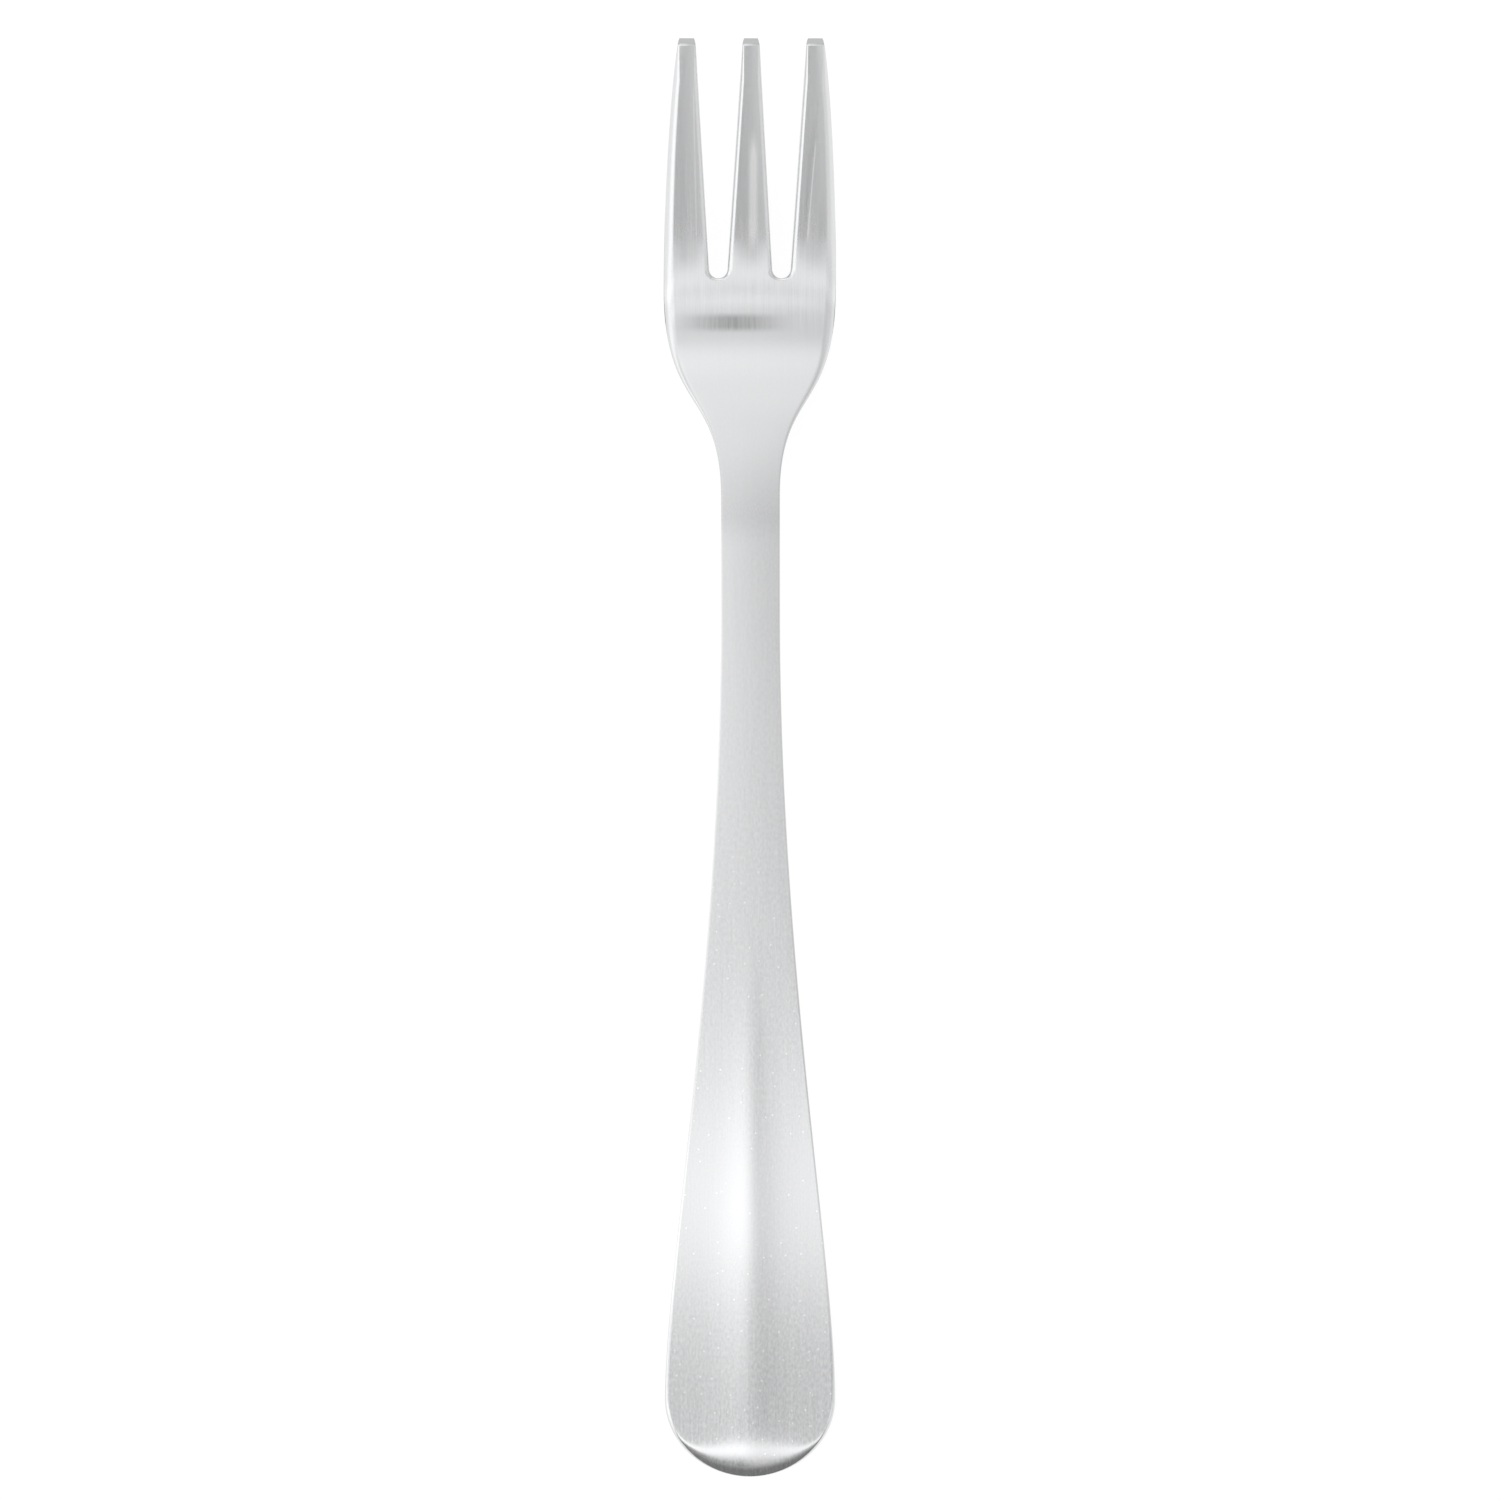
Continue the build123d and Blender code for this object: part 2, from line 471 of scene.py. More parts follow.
    def cap(self, left: Edge, right: Edge, columns: int, way: int) -> Patch:
        """Close a region where the steel runs on into the next one, with a flat wall across the sheet.

        The wall's rows are the upper and the lower outline of the section, from the left edge to the right.

        Args:
            left: the one station on the left.
            right: the one station on the right.
            columns: number of steps in the row between them.
            way: 1 to face the tines, -1 to face the handle's end.

        Returns:
            The bent patch.
        """
        row = row_between(left.inset, right.inset, columns)
        outlines = []
        for face in Face:
            inner = self.surface(face, row[..., 0], row[..., 1]).points[0]
            leaving = self.rim(face, left).points[0, ::-1]
            arriving = self.rim(face, right).points[0]
            outlines.append(np.concatenate([leaving, inner[1:-1], arriving]))
        points = np.stack(outlines)
        return Patch(
            points,
            np.broadcast_to([0.0, float(way), 0.0], points.shape),
            points[..., [0, 2]] * self.cap_unrolled + row[0, 0],
            np.ones(points.shape[:2]),
            Face.UPPER,
        )


def row_between(left: Array, right: Array, columns: int) -> Array:
    """Divide straight rows evenly.

    Args:
        left: left ends (x, y) of the rows.
        right: right ends of the rows.
        columns: number of steps in a row.

    Returns:
        Grid of places (x, y), one row for each pair of ends.
    """
    share = np.linspace(0.0, 1.0, columns + 1)[None, :, None]
    return left[:, None, :] * (1 - share) + right[:, None, :] * share


@dataclass(frozen=True)
class Solid:
    """Turns patches into one closed mesh."""

    name: str
    patches: list[Patch]
    tolerance: float = 0.0002
    map_margin: float = 0.01
    map_width: float = 0.47
    map_height: float = 0.98
    map_shift: float = 0.51

    def corners(self) -> Array:
        """Number the four corners of every grid cell, over all patches in turn."""
        cells = []
        start = 0
        for patch in self.patches:
            number = start + np.arange(patch.polish.size).reshape(patch.polish.shape)
            cell = [number[:-1, :-1], number[:-1, 1:], number[1:, 1:], number[1:, :-1]]
            cells.append(np.stack(cell, axis=-1).reshape(-1, 4))
            start += patch.polish.size
        return np.concatenate(cells)

    def spread(self) -> Array:
        """Lay the unrolled faces side by side in the unit square, the upper one on the left."""
        flat = np.concatenate([patch.flat.reshape(-1, 2) for patch in self.patches])
        low, high = flat.min(0), flat.max(0)
        share = (flat - low) / (high - low)
        sides = [np.full(patch.polish.size, patch.face is Face.LOWER) for patch in self.patches]
        spread = self.map_margin + share * (self.map_width, self.map_height)
        spread[:, 0] += self.map_shift * np.concatenate(sides)
        return spread

    def mesh(self) -> bpy.types.Mesh:
        """Weld the patches where their points meet, drop cells without area and turn every patch outward.

        Returns:
            The mesh in metres, with the surfaces' own normals, its unrolled map and the edges' polish.
        """
        points = np.concatenate([patch.points.reshape(-1, 3) for patch in self.patches])
        normals = np.concatenate([patch.normals.reshape(-1, 3) for patch in self.patches])
        polish = np.concatenate([patch.polish.ravel() for patch in self.patches])
        keys = np.round(points / self.tolerance).astype(np.int64)
        _, first, shared = np.unique(keys, axis=0, return_index=True, return_inverse=True)
        shared = shared.reshape(-1)
        cells = self.corners()
        diagonals = points[cells[:, 2]] - points[cells[:, 0]], points[cells[:, 3]] - points[cells[:, 1]]
        outward = np.einsum("ij,ij->i", np.cross(*diagonals), normals[cells].sum(1))
        owner = np.repeat(np.arange(len(self.patches)), [patch.cells for patch in self.patches])
        inward = np.bincount(owner, outward)[owner] < 0
        cells = np.where(inward[:, None], cells[:, ::-1], cells)
        welded = shared[cells]
        kept = welded != np.roll(welded, 1, axis=1)
        crossed = (welded[:, 0] == welded[:, 2]) | (welded[:, 1] == welded[:, 3])
        whole = kept.all(1) & ~crossed
        thin = (kept.sum(1) == 3) & ~crossed
        fours = cells[whole]
        threes = cells[thin][kept[thin]].reshape(-1, 3)
        corners = np.concatenate([fours.ravel(), threes.ravel()])
        mesh = bpy.data.meshes.new(self.name)
        faces = shared[fours].tolist() + shared[threes].tolist()
        mesh.from_pydata((points[first] * METRES).tolist(), [], faces)
        layer = mesh.uv_layers.new(name=SHEET_MAP)
        layer.uv.foreach_set("vector", self.spread()[corners].astype(np.float32).ravel())
        attribute = mesh.attributes.new(POLISH, "FLOAT", "POINT")
        attribute.data.foreach_set("value", polish[first].astype(np.float32))
        mesh.normals_split_custom_set(normals[corners].tolist())
        return mesh


class Region(ABC):
    """A named region of the fork."""

    @abstractmethod
    def patches(self, blank: "Blank") -> list[Patch]:
        """Give the region's surfaces."""


@dataclass(frozen=True)
class Handle(Region):
    """Flared handle with its soft centre ridge and the end that rolls down to the table."""

    end_y: float
    front_y: float
    half_width: float
    waist: float
    end_depth: float = 7.65
    flare_reach: float = 12.5
    waist_reach: float = 34.0
    ridge_height: float = 0.38
    ridge_share: float = 0.3
    ridge_full_y: float = -50.0
    ridge_start_y: float = -13.0
    roll_start: float = 2.4
    roll_spread: float = 0.8
    roll_least: float = 0.12
    roll_fall: float = 0.17
    roll_narrowing: float = 3.6
    lip_start: float = 0.85
    lip_spread: float = 0.16
    lip_fall: float = 0.17
    under_share: float = 1.4
    arc_limit: float = 0.999
    rim_width: float = 0.4
    rim_depth: float = 0.32
    end_rim: float = 0.12
    pitch: float = 0.4
    end_steps: int = 96

    @property
    def widest_y(self) -> float:
        """Station where the round end meets the flare."""
        return self.end_y + self.end_depth

    def side(self, y: Array) -> tuple[Array, Array]:
        """Give the flare's half width and its slope: a cubic curve from the widest station to the waist."""
        curve = Cubic(
            (
                (self.half_width, self.widest_y),
                (self.half_width, self.widest_y + self.flare_reach),
                (self.waist, self.front_y - self.waist_reach),
                (self.waist, self.front_y),
            )
        )
        return curve.across(y)

    def ridge(self, face: Face, x: Array, y: Array) -> Array:
        """Relief of the centre ridge, which only the upper face has.

        The ridge is height / (1 + (x / w)^2), with w a share of the handle's half width: steep beside its
        crest and easing outward. It grows from nothing at its start to its full height.

        Args:
            face: upper or lower face.
            x: places across.
            y: places along the fork.

        Returns:
            Heights of the ridge.
        """
        if face is Face.LOWER:
            return np.zeros(x.shape)
        half = self.side(np.clip(y, self.widest_y, self.front_y).ravel())[0].reshape(y.shape)
        grown = ease(self.ridge_start_y, self.ridge_full_y, y)
        return self.ridge_height * grown / (1 + (x / (self.ridge_share * half)) ** 2)

    def roll(self, face: Face, x: Array, y: Array) -> Array:
        """Relief of the end that rolls down to the table.

        It rolls twice, broadly and then sharply at the lip. The slope of each roll is
        fall / (1 + exp((d - a) / w)), with d the distance to the round end along y, so it drops by
        fall * w * ln(1 + exp((a - d) / w)). The broad roll's start a and spread w are greatest in the middle and
        narrow towards the flare, where it becomes a bevel. The lower face drops by a share of both.

        Args:
            face: upper or lower face.
            x: places across.
            y: places along the fork.

        Returns:
            Heights, below 0.
        """
        share = np.clip(np.abs(x) / self.half_width, 0.0, self.arc_limit)
        arc = np.sqrt(1 - share**2)
        away = y - self.widest_y + self.end_depth * arc
        narrowed = arc**self.roll_narrowing
        spread = np.maximum(self.roll_spread * narrowed, self.roll_least)
        drop = self.roll_fall * spread * np.logaddexp(0.0, (self.roll_start * narrowed - away) / spread)
        lip = np.logaddexp(0.0, (self.lip_start * arc - away) / self.lip_spread)
        drop = drop + self.lip_fall * self.lip_spread * lip
        return -drop * (1.0 if face is Face.UPPER else self.under_share)

    def edge(self, blank: "Blank") -> Edge:
        """Give the right edge from the middle of the round end to the front.

        Args:
            blank: the fork's blank.

        Returns:
            The stations of the quarter ellipse and of the flare.
        """
        angle = np.linspace(0.0, np.pi / 2, self.end_steps + 1)[:-1]
        x = self.half_width * np.sin(angle)
        y = self.widest_y - self.end_depth * np.cos(angle)
        out = unit(np.stack([x / self.half_width**2, (y - self.widest_y) / self.end_depth**2], axis=-1))
        share = self.end_rim + (1 - self.end_rim) * (x / self.half_width) ** 2
        width = share * self.rim_width
        inset = np.stack([x, y], axis=-1) - width[:, None] * out
        power = blank.power(np.full(y.shape, self.widest_y))
        round_end = Edge(inset, out, width, share * self.rim_depth, power, np.zeros(y.shape))
        return round_end.then(blank.edge(steps(self.widest_y, self.front_y, self.pitch)))

    def patches(self, blank: "Blank") -> list[Patch]:
        """Give the handle's surfaces."""
        right = self.edge(blank)
        left = right.mirrored()
        last = slice(-1, None)
        cap = blank.sheet.cap(left.part(last), right.part(last), blank.columns, 1)
        return blank.sheet.strip(left, right, blank.columns) + [cap]


@dataclass(frozen=True)
class Shank(Region):
    """Narrow stretch with parallel sides and a slight crown."""

    back_y: float
    front_y: float
    half_width: float
    crown: float = 0.16
    crown_back_y: float = -40.0
    crown_front_y: float = 50.0
    crown_full_y: float = 40.0
    crown_limit: float = 1.2
    rim_width: float = 0.2
    pitch: float = 0.4

    def crowning(self, side: Side) -> Relief:
        """Make the relief of the crown, which drops with (x / half width)^2 and fades towards both ends.

        Args:
            side: half width of the fork and its slope at stations y.

        Returns:
            The relief as a function of face, x and y.
        """

        def relief(face: Face, x: Array, y: Array) -> Array:
            """Drop of the upper face beside the middle."""
            if face is Face.LOWER:
                return np.zeros(x.shape)
            half = side(np.clip(y, self.crown_back_y, self.crown_front_y).ravel())[0].reshape(y.shape)
            weight = ease(self.crown_back_y, self.back_y, y) * ease(self.crown_front_y, self.crown_full_y, y)
            drop = self.crown * np.sqrt(half / self.half_width)
            return -drop * weight * np.clip((x / half) ** 2, 0.0, self.crown_limit)

        return relief

    def patches(self, blank: "Blank") -> list[Patch]:
        """Give the shank's surfaces."""
        right = blank.edge(steps(self.back_y, self.front_y, self.pitch))
        left = right.mirrored()
        first, last = slice(0, 1), slice(-1, None)
        caps = [
            blank.sheet.cap(left.part(first), right.part(first), blank.columns, -1),
            blank.sheet.cap(left.part(last), right.part(last), blank.columns, 1),
        ]
        return blank.sheet.strip(left, right, blank.columns) + caps


@dataclass(frozen=True)
class Slot:
    """Gap between the right and the centre tine: two straight walls and a round floor that touches both."""

    tip_y: float
    length: float = 23.0
    root_inner: float = 2.233
    root_outer: float = 3.933
    tip_inner: float = 0.8
    tip_outer: float = 5.4
    root_rim: float = 0.5
    floor_rim: float = 0.3

    @property
    def floor_y(self) -> float:
        """Station of the floor's lowest point."""
        return self.tip_y - self.length

    @property
    def inner_slope(self) -> float:
        """Slope of the centre tine's wall, across for each step along."""
        return (self.tip_inner - self.root_inner) / (self.tip_y - self.floor_y)

    @property
    def outer_slope(self) -> float:
        """Slope of the outer tine's wall, across for each step along."""
        return (self.tip_outer - self.root_outer) / (self.tip_y - self.floor_y)

    def inner(self, y: Array) -> tuple[Array, Array]:
        """Give the centre tine's wall and its slope."""
        return self.root_inner + self.inner_slope * (y - self.floor_y), np.full(y.shape, self.inner_slope)

    def outer(self, y: Array) -> tuple[Array, Array]:
        """Give the outer tine's wall and its slope."""
        return self.root_outer + self.outer_slope * (y - self.floor_y), np.full(y.shape, self.outer_slope)

    def floor(self, blank: "Blank", count: int) -> Edge:
        """Give the round floor, the circle that touches both walls and the floor's station.

        Args:
            blank: the fork's blank.
            count: number of steps round the floor.

        Returns:
            The stations from the centre tine's wall to the outer tine's.
        """
        inner, outer = -self.inner_slope, self.outer_slope
        inner_lean, outer_lean = np.arctan(inner), np.arctan(outer)
        reach = 1 / np.cos(inner_lean) + 1 / np.cos(outer_lean) - inner - outer
        radius = (self.root_outer - self.root_inner) / reach
        centre_x = self.root_outer + outer * radius - radius / np.cos(outer_lean)
        angle = np.linspace(inner_lean - np.pi, -outer_lean, count + 1)
        around = np.stack([np.cos(angle), np.sin(angle)], axis=-1)
        upright = np.where(angle < -np.pi / 2, np.cos(angle[0]), np.cos(angle[-1]))
        width = self.floor_rim + (self.root_rim - self.floor_rim) * (np.cos(angle) / upright) ** 2
        centre = np.array([centre_x, self.floor_y + radius])
        inset = centre + around * (radius + width)[:, None]
        floor_y = np.full(angle.shape, self.floor_y)
        return Edge(inset, -around, width, blank.depth(floor_y, width), blank.power(floor_y), np.zeros(angle.shape))


@dataclass(frozen=True)
class Tine(Region):
    """One tine, from the slots' round floors to its flat-cut tip."""

    side: TineSide
    tip_y: float
    slot: Slot
    tip_rim: float = 0.16
    pitch: float = 0.3
    corner_steps: int = 6

    def edges(self, blank: "Blank", y: Array) -> tuple[Edge, Edge]:
        """Give the left and the right edge at stations y."""
        rim = blank.slot_rim(y)
        if self.side is TineSide.CENTRE:
            right = blank.stations(y, *self.slot.inner(y), 1, rim)
            return right.mirrored(), right
        inner = blank.stations(y, *self.slot.outer(y), -1, rim)
        outer = blank.edge(y)
        if self.side is TineSide.RIGHT:
            return inner, outer
        return outer.mirrored(), inner.mirrored()

    def root_y(self, blank: "Blank") -> float:
        """Give the station where the round floors meet the tine's walls."""
        floor = self.slot.floor(blank, 2)
        ends = floor.inset + floor.out * floor.width[:, None]
        return float(ends[0 if self.side is TineSide.CENTRE else -1, 1])

    def tip(self, left: Edge, right: Edge, columns: int) -> Edge:
        """Round the tip: both corners turn about the ends of the last row, and the row's points go straight out.

        Along the row, the rounding changes evenly from that of the left edge to that of the right edge.

        Args:
            left: last station of the left edge.
            right: last station of the right edge.
            columns: number of steps in the last row.

        Returns:
            The stations from the left edge to the right.
        """
        ahead = np.pi / 2
        row = row_between(left.inset, right.inset, columns)[0]
        left_angle = np.arctan2(left.out[0, 1], left.out[0, 0])
        right_angle = np.arctan2(right.out[0, 1], right.out[0, 0])
        angle = np.concatenate(
            [
                np.linspace(left_angle, ahead, self.corner_steps + 1)[:-1],
                np.full(columns + 1, ahead),
                np.linspace(ahead, right_angle, self.corner_steps + 1)[1:],
            ]
        )
        corner = np.ones((self.corner_steps, 1))
        inset = np.concatenate([corner * row[0], row, corner * row[-1]])
        out = np.stack([np.cos(angle), np.sin(angle)], axis=-1)
        turned = np.where(angle > ahead, left_angle - angle, angle - right_angle)
        square = turned / np.where(angle > ahead, left_angle - ahead, ahead - right_angle)
        ends = ((left.width, right.width), (left.depth, right.depth), (left.power, right.power))
        row_ends = (self.corner_steps, self.corner_steps + columns)
        place = np.arange(angle.size)
        width, depth, power = (np.interp(place, row_ends, np.concatenate(pair)) for pair in ends)
        return Edge(inset, out, width, depth, power, square)

    def patches(self, blank: "Blank") -> list[Patch]:
        """Give the tine's surfaces."""
        columns = blank.tine_columns
        left, right = self.edges(blank, steps(self.root_y(blank), blank.tip_face_y, self.pitch))
        first, last = slice(0, 1), slice(-1, None)
        tip = self.tip(left.part(last), right.part(last), columns)
        cap = blank.sheet.cap(left.part(first), right.part(first), columns, -1)
        return blank.sheet.strip(left, right, columns) + blank.sheet.rims(tip) + [cap]


@dataclass(frozen=True)
class Head(Region):
    """Shoulders, palm and heel, up to the roots of the tines."""

    back_y: float
    half_width: float
    waist: float
    slot: Slot
    neck_reach: float = 10.75
    shoulder_reach: float = 12.25
    cheek_setback: float = 1.0
    tine_crown: float = 0.1
    crown_run: float = 4.0
    crown_limit: float = 1.2
    slot_blend: float = 5.0
    rim_width: float = 1.05
    pitch: float = 0.3

    @property
    def cheek_y(self) -> float:
        """Station where the shoulders reach the head's full width."""
        return self.slot.floor_y - self.cheek_setback

    def side(self, y: Array) -> tuple[Array, Array]:
        """Give the shoulders' half width and its slope: a cubic curve from the shank to the cheeks."""
        curve = Cubic(
            (
                (self.waist, self.back_y),
                (self.waist, self.back_y + self.neck_reach),
                (self.half_width, self.cheek_y - self.shoulder_reach),
                (self.half_width, self.cheek_y),
            )
        )
        return curve.across(y)

    def crowning(self, side: Side) -> Relief:
        """Make the relief of the tines' crowns, which drop with the square of the distance to a tine's middle.

        Args:
            side: half width of the fork and its slope at stations y.

        Returns:
            The relief as a function of face, x and y.
        """

        def relief(face: Face, x: Array, y: Array) -> Array:
            """Drop of the upper face beside the middle of a tine."""
            if face is Face.LOWER:
                return np.zeros(x.shape)
            past = np.maximum(y, self.slot.floor_y)
            inner, outer = self.slot.inner(past)[0], self.slot.outer(past)[0]
            edge = side(past.ravel())[0].reshape(y.shape)
            middle = np.where(np.abs(x) < (inner + outer) / 2, 0.0, (outer + edge) / 2)
            half = np.where(middle > 0.0, (edge - outer) / 2, inner)
            grown = ease(self.slot.floor_y, self.slot.floor_y + self.crown_run, y)
            aside = np.clip((np.abs(x) - middle) / half, -self.crown_limit, self.crown_limit)
            return -self.tine_crown * grown * aside**2

        return relief

    def front(self, blank: "Blank", left: Edge, right: Edge) -> tuple[Array, Edge, Edge]:
        """Give the head's front: three tine roots with the slots' round floors between them.

        Args:
            blank: the fork's blank.
            left: last station of the left edge.
            right: last station of the right edge.

        Returns:
            The places (x, y) along the front, and the left and right floor from left to right.
        """
        columns = blank.tine_columns
        right_floor = self.slot.floor(blank, blank.slot_columns)
        left_floor = right_floor.mirrored().part(slice(None, None, -1))
        roots = (
            row_between(left.inset, left_floor.inset[:1], columns)[0],
            row_between(left_floor.inset[-1:], right_floor.inset[:1], columns)[0],
            row_between(right_floor.inset[-1:], right.inset, columns)[0],
        )
        runs = [roots[0], left_floor.inset[1:-1], roots[1], right_floor.inset[1:-1], roots[2]]
        return np.concatenate(runs), left_floor, right_floor

    def patches(self, blank: "Blank") -> list[Patch]:
        """Give the head's surfaces.

        Behind the slots the rows are straight. From there to the front each column runs straight from the last
        such row to its point of the front, and the outer columns follow the head's edges.
        """
        sheet = blank.sheet
        columns = blank.tine_columns
        root_y = blank.tines[0].root_y(blank)
        blend_y = self.slot.floor_y - self.slot_blend
        plain = steps(self.back_y, blend_y, self.pitch)
        fanned = steps(blend_y, root_y, self.pitch)
        right = blank.edge(np.concatenate([plain, fanned[1:]]))
        left = right.mirrored()
        first, last = slice(0, 1), slice(-1, None)
        front, left_floor, right_floor = self.front(blank, left.part(last), right.part(last))
        rows = row_between(left.inset, right.inset, blank.columns)
        back = rows[len(plain) - 1]
        share = np.linspace(0.0, 1.0, len(fanned))[1:, None, None]
        fan = back * (1 - share) + front * share
        across = np.linspace(0.0, 1.0, blank.columns + 1)[None, :, None]
        edges = rows[len(plain) :, [0, -1]] - fan[:, [0, -1]]
        fan = fan + edges[:, :1] * (1 - across) + edges[:, 1:] * across
        rows = np.concatenate([rows[: len(plain)], fan])
        caps = [
            sheet.cap(left.part(first), right.part(first), blank.columns, -1),
            sheet.cap(left.part(last), left_floor.part(first), columns, 1),
            sheet.cap(left_floor.part(last), right_floor.part(first), columns, 1),
            sheet.cap(right_floor.part(last), right.part(last), columns, 1),
        ]
        return sheet.faces(rows) + sheet.rims(left, right, left_floor, right_floor) + caps


@dataclass(frozen=True)
class Blank:
    """The fork seen from above: its outline, the widths of its rounded edges, and the sheet that carries them."""

    line: BentLine
    sheet: Sheet
    handle: Handle
    shank: Shank
    head: Head
    tines: tuple[Tine, Tine, Tine]
    tip_half: float = 7.0
    tine_reach: float = 11.0
    tip_reach: float = 2.75
    tip_lean: float = 12.0
    flare_run: float = 10.0
    flare_rim_run: float = 16.0
    neck_rim_run: float = 4.0
    cheek_run: float = 3.0
    slot_root_run: float = 1.5
    tip_rim_run: float = 0.5
    taper_y: float = 66.0
    taper_rim: float = 0.7
    slot_taper_rim: float = 0.42
    rim_slope: float = 0.8
    shank_slope: float = 0.45
    tip_slope: float = 0.9
    end_power: float = 1.6
    shank_power: float = 2.0
    head_power: float = 1.55
    tine_columns: int = 14
    slot_columns: int = 14

    @property
    def columns(self) -> int:
        """Steps in a full row: three tines and two slot floors."""
        return 3 * self.tine_columns + 2 * self.slot_columns

    @property
    def tip_y(self) -> float:
        """Station of the tine tips."""
        return self.tines[0].tip_y

    @property
    def tip_face_y(self) -> float:
        """Station where the upper faces of the tines end, behind the rounding and the tilted end."""
        slope = float(self.line.slope[-1])
        return self.tip_y - 2 * self.sheet.half * np.sin(slope) - self.tines[0].tip_rim

    def cheek(self, y: Array) -> tuple[Array, Array]:
        """Give the outer tines' outer side and its slope: a cubic curve from the cheeks to the tips."""
        lean = np.radians(self.tip_lean)
        curve = Cubic(
            (
                (self.head.half_width, self.head.cheek_y),
                (self.head.half_width, self.head.cheek_y + self.tine_reach),
                (self.tip_half + self.tip_reach * np.sin(lean), self.tip_y - self.tip_reach * np.cos(lean)),
                (self.tip_half, self.tip_y),
            )
        )
        return curve.across(y)

    def side(self, y: Array) -> tuple[Array, Array]:
        """Give the outline's half width and its slope in front of the round end."""
        zones = [y < self.shank.back_y, y <= self.shank.front_y, y < self.head.cheek_y]
        straight = (np.full(y.shape, self.shank.half_width), np.zeros(y.shape))
        parts = (self.handle.side(y), straight, self.head.side(y), self.cheek(y))
        halves = np.select(zones, [part[0] for part in parts[:3]], parts[3][0])
        slopes = np.select(zones, [part[1] for part in parts[:3]], parts[3][1])
        return halves, slopes

    def rim(self, y: Array) -> Array:
        """Give the width of the outer edge's rounding: narrow on handle and shank, wide on the head."""
        stations = (
            (self.handle.widest_y, self.handle.rim_width),
            (self.handle.widest_y + self.flare_rim_run, self.shank.rim_width),
            (self.shank.front_y + self.neck_rim_run, self.shank.rim_width),
            (self.head.cheek_y - self.cheek_run, self.head.rim_width),
            (self.slot_root_y, self.head.rim_width),
            (self.taper_y, self.taper_rim),
            (self.tip_y - self.tip_rim_run, self.tines[0].tip_rim),
        )
        return np.interp(y, *np.array(stations).T)

    def slot_rim(self, y: Array) -> Array:
        """Give the width of the slot edges' rounding, which narrows towards the tips."""
        stations = (
            (self.slot_root_y, self.head.slot.root_rim),
            (self.taper_y, self.slot_taper_rim),
            (self.tip_y - self.tip_rim_run, self.tines[0].tip_rim),
        )
        return np.interp(y, *np.array(stations).T)

    @property
    def slot_root_y(self) -> float:
        """Station just past the slots' round floors, from where the roundings narrow."""
        return self.head.slot.floor_y + self.slot_root_run

    def depth(self, y: Array, width: Array) -> Array:
        """Give the depth of the roundings, a share of their width that is less behind the head."""
        stations = (
            (self.handle.widest_y, self.rim_slope),
            (self.handle.widest_y + self.flare_run, self.shank_slope),
            (self.shank.front_y, self.shank_slope),
            (self.head.cheek_y - self.cheek_run, self.rim_slope),
            (self.tip_y, self.tip_slope),
        )
        return width * np.interp(y, *np.array(stations).T)

    def power(self, y: Array) -> Array:
        """Give the roundings' power: round on the shank, nearer to a chamfer on the head."""
        stations = (
            (self.handle.widest_y, self.end_power),
            (self.handle.widest_y + self.flare_run, self.shank_power),
            (self.shank.front_y, self.shank_power),
            (self.head.cheek_y - self.cheek_run, self.head_power),
        )
        return np.interp(y, *np.array(stations).T)

    def stations(self, y: Array, x: Array, slope: Array, way: int, width: Array) -> Edge:
        """Give an edge's stations.

        Args:
            y: places along the fork.
            x: places across of the edge.
            slope: slope of the edge, across for each step along.
            way: 1 if the steel is on the left of the edge, -1 if on its right.
            width: width of the rounding.

        Returns:
            The stations, with the way out square to the edge as seen from above.
        """
        out = unit(way * np.stack([np.ones(y.shape), -slope], axis=-1))
        inset = np.stack([x, y], axis=-1) - width[:, None] * out
        return Edge(inset, out, width, self.depth(y, width), self.power(y), np.zeros(y.shape))

    def edge(self, y: Array) -> Edge:
        """Give the right outer edge at stations y."""
        return self.stations(y, *self.side(y), 1, self.rim(y))


